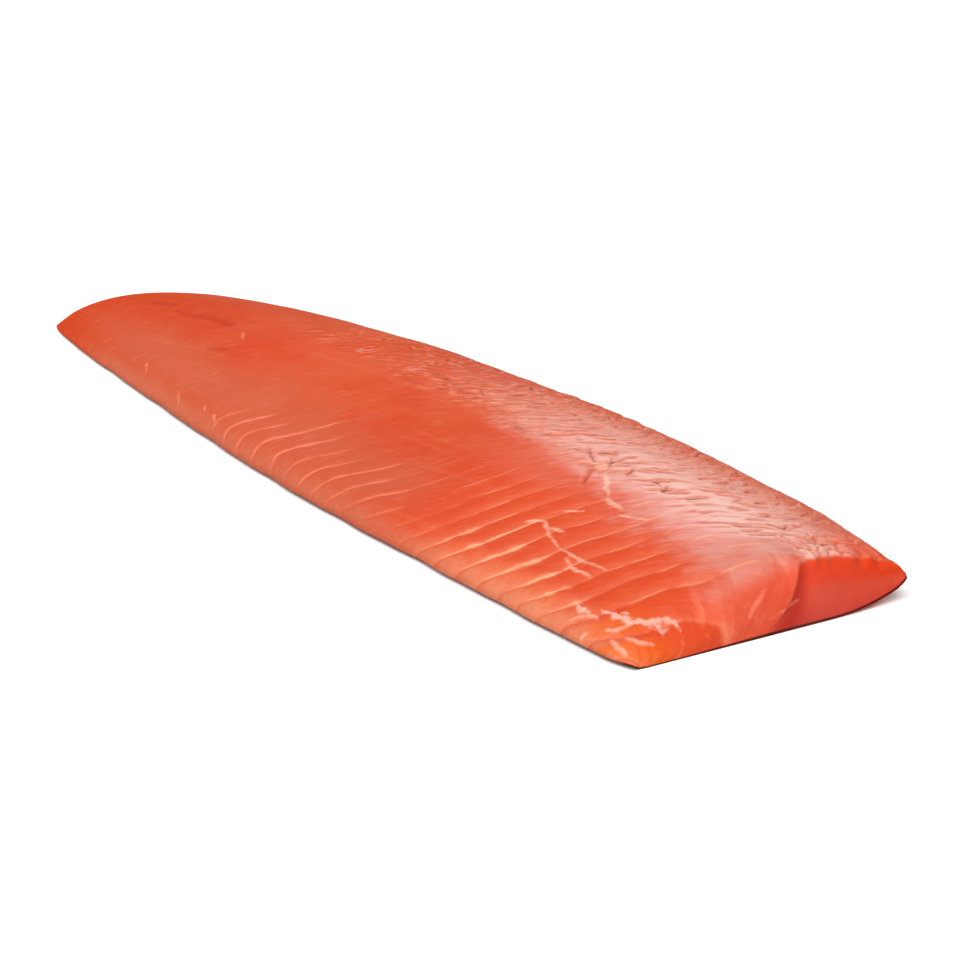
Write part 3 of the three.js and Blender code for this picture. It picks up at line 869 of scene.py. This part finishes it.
def flesh_material(look):
    """Moist raw flesh: zones of orange and red, pale seams of fat, a milky film with painted sheen, painted
    shade in tears, slits and hollows, a painted contact shadow and a wet gloss.
    """
    material = bpy.data.materials.new("salmon_flesh")
    g = Graph(material)
    here = g.node("ShaderNodeTexCoord").outputs["Object"]
    along, across, place, fall, standing, underside = map(
        g.attribute, ("along", "across", "place", "fall", "standing", "underside")
    )
    slit, hollow, crack, cut, cleft_shade = map(g.attribute, ("slit", "hollow", "crack", "cut", "cleft_shade"))
    seam_fat, strand, streak, membrane, stroke = map(
        g.attribute, ("seam_fat", "strand", "streak", "membrane", "stroke")
    )

    # Slow clouds and long faint streaks along the fillet.
    clouds = g.noise(here, 24.0, 3.0, 0.55)
    mottle = g.noise(here, 150.0, 3.0, 0.6)
    streaks = g.noise(g.stretched(here, (9.0, 150.0, 40.0)), 1.0, 3.0, 0.6)
    fibres = g.noise(g.along_seams(here, FIBRE), 1.0, 3.0, 0.6)
    chips = g.noise(g.combined(across * 21.0, place * 4.3, along * 9.0), 1.0, 2.0, 0.55)
    edge_of = across + (clouds - 0.5) * 0.16 + (mottle - 0.5) * 0.05
    flesh = Coats(g, g.blend(clouds.step(0.35, 0.7), look.flesh, look.deep_flesh))

    # The tail is redder with dark streaks, the belly side of the middle pinker.
    tail = along.step(*TAIL_ZONE)
    flesh.lay(tail * 0.85, look.tail_flesh)
    flesh.lay(tail * streaks.step(0.5, 0.68) * edge_of.step(0.35, 0.5) * 0.55, look.red_streak)
    flesh.lay((streak + (mottle - 0.5) * 4.0).step(2.2, -0.6) * 0.6, look.red_streak)
    pale_back = along.step(0.06, 0.14) * along.step(0.42, 0.26) * edge_of.step(0.5, 0.7)
    flesh.lay(pale_back * 0.4, look.belly_flesh)
    pink = along.step(0.02, 0.2) * along.step(*MIDDLE_ZONE) * edge_of.step(0.36, 0.14)
    flesh.lay(pink * 0.8, look.belly_flesh)

    # Towards the cut the belly side is brighter; the loin is paler, under a milky film whose pale colour is
    # also a painted sheen where the wet loin would reflect the light.
    bright = along.step(*FRONT_ZONE) * edge_of.step(0.6, 0.48)
    flesh.lay(bright * 0.8, look.bright_flesh)
    loin = edge_of.step(*LOIN_ZONE["across"]) * along.step(*LOIN_ZONE["along"])
    flesh.lay(loin * (0.55 + 0.5 * mottle), look.pale_flesh)
    flesh.lay(streaks.step(0.55, 0.8) * 0.2, look.pale_flesh)
    blotch = g.noise(here, 90.0, 2.0)
    behind_rim, past_split = along.step(0.996, 0.98), across.step(0.54, 0.6)
    before_cut = behind_rim + past_split - behind_rim * past_split
    torn_edge = edge_of + along * 0.7 - 0.19 + (blotch - 0.5) * 0.18 + (fibres - 0.5) * 0.16
    film_sheen_zone = torn_edge.step(0.72, 0.95) * across.step(0.92, 0.6) * (0.2 + 0.8 * before_cut)
    sheen_veil = edge_of.step(0.3, 0.42) * along.step(0.6, 0.74) * (0.4 + fibres) * 0.14
    # The veil and the film zone lay the milky film with its painted sheen.
    flesh.lay(sheen_veil * before_cut, look.film_and_sheen)
    flesh.lay(film_sheen_zone * along.step(0.54, 0.82) * (0.1 + 0.52 * blotch), look.film_and_sheen)
    edge = g.blend(along.step(0.68, 0.8) * 0.2, look.edge_flesh, look.fat)
    flesh.lay(across.step(0.045, 0.0) * along.step(0.08, 0.2) * (0.3 + 0.6 * mottle), edge)
    # Painted shade: the loin edge, where the top turns away from the light, is darker and browner.
    flesh.lay(edge_of.step(0.76, 0.9) * (0.4 + 0.5 * blotch), look.ridge_shade)
    flesh.lay(across.step(0.1, 0.02) * along.step(0.68, 0.86) * (0.08 + 0.34 * mottle), look.fat)

    # Seams of fat: thin and pink mid-way, thick and creamy near the cut. Across each flake a painted shade
    # runs from darkest and reddest just beyond its seam to paler before the next.
    wobble = (g.noise(here, 80.0, 2.0) - 0.5) * 0.18 + (g.noise(here, 300.0, 2.0) - 0.5) * 0.06
    within = (place + wobble).math("FRACT")
    seam = 0.5 - (within - 0.5).math("ABSOLUTE")
    rank = (place + wobble).math("ROUND") * 7.3
    bead = g.noise(g.combined(rank, across * 22.0, 0.0), 1.0, 2.0, 0.6)
    gaps = g.noise(g.combined(rank, across * 9.0, 5.0), 1.0, 2.0, 0.6)
    creamy = along.step(*CREAMY_ZONE)
    blob = across.step(0.02, 0.07) * across.step(0.17, 0.1)
    width = 0.045 + blob * bead.step(0.35, 0.6) * (0.025 + creamy * 0.06)
    line = (seam / width).step(1.35, 0.4)
    thin = along.step(0.6, 0.72) * across.step(0.12, 0.18) * across.step(0.4, 0.3) * 0.4
    film_lines = along.step(0.74, 0.82) * across.step(0.36, 0.42) * across.step(0.62, 0.54) * 0.45
    unbroken, beaded = 0.65 + 0.35 * gaps.step(0.36, 0.5), 0.6 + 0.4 * bead.step(0.3, 0.5)
    shown = seam_fat * across.step(-0.005, 0.02) * unbroken * beaded
    shown = (shown + (thin + film_lines) * gaps.step(0.42, 0.58)) * (1 - cut)
    flake_shading = along.step(0.36, 0.46) * along.step(0.7, 0.64) * across.step(0.3, 0.16) * 0.5
    flake_shading = flake_shading + creamy * across.step(0.42, 0.32)
    fat = g.blend(creamy, look.pink_fat, look.fat)
    # Painted shade across each flake: paler towards the next seam, darker and redder just beyond its own.
    flesh.lay(within.step(0.35, 1.0) * flake_shading * (0.1 + creamy * 0.14), look.pink_fat)
    flesh.lay(within.step(0.34, 0.06) * flake_shading * 0.4, look.deep_flesh)
    flesh.lay((seam / (width * 2.4)).step(1.3, 0.2) * shown * 0.3, look.pink_fat)
    flesh.lay(line * shown * (0.72 + 0.2 * creamy), fat)

    # Strands of fat and scraps of membrane by the corner of the belly, over bright orange flesh.
    glow = across.step(0.2, 0.07) * along.step(0.93, 0.97) * (mottle + seam - 0.25).step(0.36, 0.52)
    flesh.lay(glow * 0.6, look.corner_flesh)
    ragged = (g.noise(here, 380.0, 3.0, 0.6) - 0.5) * 2.2
    strand_fat = g.blend(0.5, look.fat, look.membrane)
    pale_strand = g.blend(across.step(0.34, 0.5) * along.step(0.8, 0.7), strand_fat, look.pink_fat)
    pale_strand = g.blend(along.step(0.66, 0.6), pale_strand, look.pink_fat)
    flesh.lay((strand + ragged * 0.9).step(0.75, -0.75) * 0.72, pale_strand)
    flesh.lay((membrane + ragged * 1.9).step(0.7, -1.0) * (0.55 + 0.4 * mottle), look.membrane)

    # Fibres run along the seams, and the loin is chipped into small flakes, with a painted highlight on
    # their raised parts and painted shade on their low parts.
    flesh.lay(fibres.step(0.52, 0.78) * 0.22, look.pink_fat)
    flesh.lay(fibres.step(0.48, 0.24) * 0.25, look.deep_flesh)
    chipped = along.step(0.22, 0.42) * edge_of.step(0.47, 0.58) * across.step(0.98, 0.88) * (1 - cut)
    chipped = chipped * (1 - 0.65 * along.step(0.7, 0.8) * across.step(0.78, 0.66))
    flesh.lay(chips.step(0.54, 0.7) * chipped * 0.4, look.film_and_sheen)
    flesh.lay(chips.step(0.45, 0.33) * chipped * 0.66, look.slit)

    # Pale crumbs and dark nicks lie along the broken edge of the film: a painted highlight on the raised
    # crumbs and painted shade in the low nicks.
    crumbs = g.noise(g.combined(across * 34.0, place * 3.1, along * 30.0), 1.0, 2.0, 0.6)
    crumbled = along.step(0.36, 0.5) * along.step(0.84, 0.7) * edge_of.step(0.46, 0.54)
    crumbled = crumbled * edge_of.step(0.74, 0.6)
    flesh.lay(crumbs.step(0.54, 0.66) * crumbled * 0.45, look.pink_fat)
    flesh.lay(crumbs.step(0.43, 0.33) * crumbled * 0.6, look.slit)

    # Painted shade makes slits and hollows darker and redder and tears nearly brown; a painted highlight
    # makes the slits' raised lips, raised parts and the rims of tears paler.
    flesh.lay(slit.step(0.1, 0.9) * 0.6, look.slit)
    flesh.lay(slit.step(-0.05, -0.5) * 0.4, look.film_and_sheen)
    flesh.lay(hollow.step(0.04, 0.32) * 0.5, look.deep_flesh)
    flesh.lay(hollow.step(-0.04, -0.3) * 0.25, look.pink_fat)
    flesh.lay(crack.step(1.5, 0.7) * loin * 0.2 * (1 - cut), look.film_and_sheen)
    flesh.lay((crack + ragged * 0.3).step(0.5, 0.0) * 0.6 * (1 - cut), look.crack)

    # Creamy tips of flakes along the cut's rim, paler where they stand up as a painted highlight, then the
    # cut face with a darker foot.
    tips = along.step(0.978, 0.992) * across.step(0.55, 0.6) * across.step(0.86, 0.74)
    tips = tips * (g.noise(here, 260.0, 2.0).step(0.4, 0.6) * 0.3 + hollow.step(0.0, -0.15) * 0.5)
    flesh.lay(tips * 0.7 * (1 - cut), look.membrane)
    # Painted sheen in the film's colour just behind the loin's rim.
    milky_sheen = along.step(0.93, 0.97) * across.step(0.5, 0.58) * across.step(0.74, 0.66) * (1 - cut)
    flesh.lay(milky_sheen * 0.16, look.film_and_sheen)
    corner = along.step(0.962, 0.985) * across.step(0.72, 0.8)
    flesh.lay(corner * 0.5, look.bright_flesh)
    # Folds on the rolled end: painted shade in their troughs and a painted highlight on their crests,
    # following their bump.
    folds = g.noise(g.combined(across * 34.0 + fall * 2.5, fall * 1.5, along * 20.0), 1.0, 2.0)
    rolled = along.step(*ROLL_ZONE) * (1 - cut)
    flesh.lay(rolled * folds.step(0.5, 0.3) * 0.35, look.deep_flesh)
    flesh.lay(rolled * folds.step(0.56, 0.72) * 0.25, look.pink_fat)
    turned = rolled * across.step(0.44, 0.52) * fall.step(0.05, 0.25)
    flesh.lay(turned * (0.35 + 0.5 * mottle), look.cut_flesh)
    grained = g.noise(g.stretched(here, (60.0, 260.0, 70.0)), 1.0, 3.0, 0.6)
    face = Coats(g, g.blend(fall.step(0.3, 0.6), look.cut_flesh, look.cut_middle))
    face.lay(grained.step(0.5, 0.75) * 0.4, look.cut_middle)
    face.lay(grained.step(0.5, 0.25) * 0.4, look.deep_flesh)
    face.lay(fall.step(0.6, 0.98) * 0.55, look.cut_shade)
    flesh.lay(cut, face.colour)
    # Painted shade in the fold between the roll and the cut face.
    flesh.lay(cleft_shade * (1 - underside) * (0.35 + 0.5 * fall), look.cleft_shade)
    flesh.lay(stroke.step(0.6, -0.4) * along.step(*ROLL_ZONE) * 0.5, look.pink_fat)
    # Painted contact shadow: a thin dark line along the foot of the cut face and under both edges of the
    # underside, where the fillet meets the floor.
    foot = (standing / (0.5 + 0.5 * across.step(0.1, 0.5))).step(*FOOT_LINE)
    foot = foot * along.step(0.985, 0.995) * (1 - underside)
    brim_shadow = underside.step(0.2, 0.6) * (across.step(0.05, 0.02) + across.step(0.96, 0.985))
    flesh.lay(underside * 0.35, look.pale_flesh)
    flesh.lay((foot + brim_shadow) * 0.9, look.foot)

    # Wettest where the loin is torn, drier on the tail.
    wet = (0.03 + film_sheen_zone * along.step(0.34, 0.9) * 0.68) * (1 - cut * 0.5)
    fine = g.noise(here, 800.0, 3.0, 0.6)
    roughness = 0.42 + (fine - 0.5) * 0.12 + (mottle - 0.5) * 0.1
    height = g.noise(here, 300.0, 4.0, 0.6) * (0.4 + 0.6 * loin) + fibres * (0.5 - 0.4 * cut)
    height = height + line * shown * 0.3 + chips * chipped * 2.6 + crumbs * crumbled * 2.0
    height = height + rolled * folds * 1.5
    g.principled({
        "Base Color": flesh.colour,
        "Roughness": roughness,
        "IOR": 1.4,
        "Specular IOR Level": 0.0,
        "Normal": g.bump(height, BUMP_HEIGHT, 0.4),
        "Subsurface Weight": look.translucency,
        "Subsurface Radius": (1.0, 0.3, 0.15),
        "Subsurface Scale": LIGHT_REACH,
        "Coat Weight": wet,
        "Coat Roughness": look.film_roughness,
        "Coat IOR": 1.38,
    })
    return material


# ---------------------------------------------------------------------------------------------
# Settings
# ---------------------------------------------------------------------------------------------


def size_property(name, default, description):
    return FloatProperty(name=name, description=description, default=default, min=0.0, unit="LENGTH")


def share_property(name, default, description):
    return FloatProperty(name=name, description=description, default=default, min=0.0, max=1.0)


def strength_property(name, default, description):
    return FloatProperty(name=name, description=description, default=default, min=0.0)


def angle_property(name, degrees, description):
    return FloatProperty(name=name, description=description, default=math.radians(degrees), subtype="ANGLE")


def colour_property(name, default, description):
    return FloatVectorProperty(
        name=name, description=description, default=default, size=3, min=0.0, max=1.0, subtype="COLOR"
    )


class FilletShape(bpy.types.PropertyGroup):
    """Sizes of the fillet."""

    length: size_property("Length", float(CAD_SIZE[0]), "From the tail tip to the cut")
    crest_height: size_property("Crest height", 30.4 * MM, "Thickness along the loin's crest")
    flake_pitch: size_property("Flake pitch", 15 * MM, "Distance between two seams of fat")
    step_height: size_property("Step height", 0.7 * MM, "Rise of one torn flake over the next")
    pillow_height: size_property("Pillow height", 0.25 * MM, "Swelling of a flake on the belly side")


class FleshLook(bpy.types.PropertyGroup):
    """Colours and gloss of the flesh."""

    flesh: colour_property("Flesh", (0.512, 0.072, 0.024), "Main colour of the flesh")
    deep_flesh: colour_property("Deep flesh", (0.488, 0.048, 0.0144), "Darker, redder flesh")
    pale_flesh: colour_property("Pale flesh", (0.544, 0.148, 0.084), "Paler flesh of the loin")
    # Milky film on the loin, and a painted sheen and painted highlights in its colour.
    film_and_sheen: colour_property("Milky film", (0.552, 0.316, 0.264), "Milky film on the loin")
    belly_flesh: colour_property("Belly flesh", (0.456, 0.0864, 0.0424), "Pinker flesh along the belly edge")
    edge_flesh: colour_property("Edge flesh", (0.464, 0.124, 0.068), "Pale rim of the belly edge")
    # Painted shade along the loin edge, where the top turns away from the light.
    ridge_shade: colour_property("Ridge flesh", (0.464, 0.08, 0.044), "Browner flesh along the loin edge")
    bright_flesh: colour_property("Bright flesh", (0.56, 0.06, 0.02), "Fresh flesh near the cut")
    corner_flesh: colour_property("Corner flesh", (0.62, 0.105, 0.008), "Orange flesh in the belly's corner")
    tail_flesh: colour_property("Tail flesh", (0.448, 0.0416, 0.0096), "Flesh of the thin tail")
    red_streak: colour_property("Red streak", (0.36, 0.024, 0.008), "Red streaks of the tail")
    cut_flesh: colour_property("Cut flesh", (0.56, 0.042, 0.011), "Flesh of the cut face")
    cut_middle: colour_property("Cut middle", (0.5, 0.056, 0.03), "Paler middle of the cut face")
    cut_shade: colour_property("Cut shade", (0.4, 0.034, 0.025), "Lower part of the cut face")
    fat: colour_property("Fat", (0.704, 0.336, 0.176), "Thick seams and strands of fat")
    pink_fat: colour_property("Pink fat", (0.736, 0.208, 0.12), "Thin seams of fat")
    membrane: colour_property("Membrane", (0.672, 0.416, 0.336), "Scraps of pale membrane")
    # Painted shade in the fold between the roll and the cut face.
    cleft_shade: colour_property("Cleft", (0.32, 0.016, 0.0096), "Dark fold between the roll and the cut face")
    # Painted shade in the slits, on the chips' low sides and in the nicks.
    slit: colour_property("Slit", (0.336, 0.056, 0.032), "Slits between torn flakes")
    # Painted shade inside the tears.
    crack: colour_property("Crack", (0.128, 0.02, 0.0096), "Depth of the tears")
    # Painted contact shadow where the fillet meets the floor.
    foot: colour_property("Foot line", (0.02, 0.004, 0.003), "Dark line where the fillet meets the floor")
    film_roughness: share_property("Film roughness", 0.28, "Roughness of the wet film")
    translucency: share_property("Translucency", 0.3, "How much light the flesh lets through")


class StudioSetup(bpy.types.PropertyGroup):
    """Floor, lights and camera."""

    floor: colour_property("Floor", (0.95, 0.95, 0.95), "Colour of the floor")
    surround: strength_property("Surround", 0.35, "Strength of the even light all round")
    key_strength: strength_property("Key light", 3.88, "Strength of the broad light in front")
    key_spread: angle_property("Key spread", 60, "Breadth of the key light")
    sheen_power: FloatProperty(
        name="Back light", description="Power of the low light behind", default=7.5, min=0.0, unit="POWER"
    )
    azimuth: angle_property("Azimuth", 53.78, "Turn of the camera")
    elevation: angle_property("Elevation", 16.89, "Height angle of the camera")
    distance: size_property("Distance", 1.4457, "From the camera to the point that it looks at")
    field_of_view: angle_property("Field of view", 16, "Angle across the picture")


# ---------------------------------------------------------------------------------------------
# Operators
# ---------------------------------------------------------------------------------------------


def new_object(name, data):
    made = bpy.data.objects.new(name, data)
    bpy.context.scene.collection.objects.link(made)
    return made


class FILLET_OT_flesh(bpy.types.Operator):
    """Shapes the fillet and gives it its flesh"""

    bl_idname = "fillet.flesh"
    bl_label = "Shape the fillet"

    def execute(self, context):
        fillet = Fillet(context.scene.fillet_shape)
        points, faces = fillet_mesh(fillet)
        mesh = bpy.data.meshes.new("salmon_fillet")
        mesh.from_pydata(fit_to_solid(points).tolist(), [], faces)
        for name, values in fillet_fields(fillet).items():
            field = mesh.attributes.new(name, "FLOAT", "POINT")
            field.data.foreach_set("value", np.ascontiguousarray(values, np.float32))
        mesh.polygons.foreach_set("use_smooth", np.ones(len(mesh.polygons), bool))
        mesh.validate()
        mesh.update()
        mesh.materials.append(flesh_material(context.scene.fillet_flesh))
        piece = new_object("salmon_fillet", mesh)
        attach(piece, "root")
        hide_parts("fillet")
        return {"FINISHED"}


def plain_material(name, colour, roughness):
    material = bpy.data.materials.new(name)
    Graph(material).principled({"Base Color": colour, "Roughness": roughness, "Specular IOR Level": 0.2})
    return material


def place_lamp(lamp, place, target):
    """Puts a lamp or camera at place and turns it to look at target."""
    lamp.location = place
    lamp.rotation_euler = (target - place).to_track_quat("-Z", "Y").to_euler()


def area_light(name, place, target, size, power):
    lamp = bpy.data.lights.new(name, "AREA")
    lamp.shape = "RECTANGLE"
    lamp.size, lamp.size_y = size
    lamp.energy = power
    place_lamp(new_object(name, lamp), place, target)


LOOK_AT = Vector((57.6 * MM, 8.7 * MM, 0))
FLOOR_HALF = 8.0
SENSOR_WIDTH = 36.0
KEY_PLACE = {"turn": math.radians(-10), "elevation": math.radians(50), "distance": 2}
BACK_PLACE = {"turn": math.radians(180), "elevation": math.radians(20), "distance": 1.7}
BACK_SIZE = (1.6, 0.5)


def around(azimuth, elevation, distance):
    """The point at that distance from LOOK_AT, at that azimuth and elevation."""
    flat = math.cos(elevation)
    back = Vector((math.sin(azimuth) * flat, -math.cos(azimuth) * flat, math.sin(elevation)))
    return LOOK_AT + distance * back


def beside_camera(studio, place):
    """A lamp's point, with its azimuth counted from the camera's."""
    return around(studio.azimuth + place["turn"], place["elevation"], place["distance"])


class FILLET_OT_studio(bpy.types.Operator):
    """Lays the floor, hangs the lights and places the camera"""

    bl_idname = "fillet.studio"
    bl_label = "Set up the studio"

    def execute(self, context):
        scene, studio = context.scene, context.scene.fillet_studio
        corners = [(x * FLOOR_HALF, y * FLOOR_HALF, 0) for x, y in ((-1, -1), (1, -1), (1, 1), (-1, 1))]
        mesh = bpy.data.meshes.new("floor")
        mesh.from_pydata(corners, [], [(0, 1, 2, 3)])
        mesh.materials.append(plain_material("floor_white", studio.floor, 0.9))
        new_object("floor", mesh)

        world = bpy.data.worlds.new("studio")
        world.use_nodes = True
        background = world.node_tree.nodes["Background"]
        background.inputs["Color"].default_value = (1, 1, 1, 1)
        background.inputs["Strength"].default_value = studio.surround
        scene.world = world

        sun = bpy.data.lights.new("key_light", "SUN")
        sun.energy = studio.key_strength
        sun.angle = studio.key_spread
        place_lamp(new_object("key_light", sun), beside_camera(studio, KEY_PLACE), LOOK_AT)
        area_light("back_light", beside_camera(studio, BACK_PLACE), LOOK_AT, BACK_SIZE, studio.sheen_power)

        camera_data = bpy.data.cameras.new("camera")
        camera_data.sensor_width = SENSOR_WIDTH
        camera_data.lens = SENSOR_WIDTH / 2 / math.tan(studio.field_of_view / 2)
        camera = new_object("camera", camera_data)
        place_lamp(camera, around(studio.azimuth, studio.elevation, studio.distance), LOOK_AT)
        scene.camera = camera
        scene.view_settings.view_transform = "Standard"
        return {"FINISHED"}


class FILLET_PT_panel(bpy.types.Panel):
    """Lists the fillet's operators and settings."""

    bl_label = "Salmon fillet"
    bl_idname = "FILLET_PT_panel"
    bl_space_type = "VIEW_3D"
    bl_region_type = "UI"
    bl_category = "Fillet"

    def draw(self, context):
        for operator, settings in (
            (FILLET_OT_flesh, ("fillet_shape", "fillet_flesh")),
            (FILLET_OT_studio, ("fillet_studio",)),
        ):
            box = self.layout.box()
            box.operator(operator.bl_idname)
            for name in settings:
                group = getattr(context.scene, name)
                for field in group.bl_rna.properties:
                    if not field.is_readonly and field.identifier != "name":
                        box.prop(group, field.identifier)


CLASSES = (FilletShape, FleshLook, StudioSetup, FILLET_OT_flesh, FILLET_OT_studio, FILLET_PT_panel)


def register():
    for one in CLASSES:
        bpy.utils.register_class(one)
    bpy.types.Scene.fillet_shape = PointerProperty(type=FilletShape)
    bpy.types.Scene.fillet_flesh = PointerProperty(type=FleshLook)
    bpy.types.Scene.fillet_studio = PointerProperty(type=StudioSetup)


def unregister():
    for name in ("fillet_shape", "fillet_flesh", "fillet_studio"):
        delattr(bpy.types.Scene, name)
    for one in reversed(CLASSES):
        bpy.utils.unregister_class(one)


def main():
    register()
    bpy.ops.fillet.flesh()
    bpy.ops.fillet.studio()


if __name__ == "__main__":
    main()
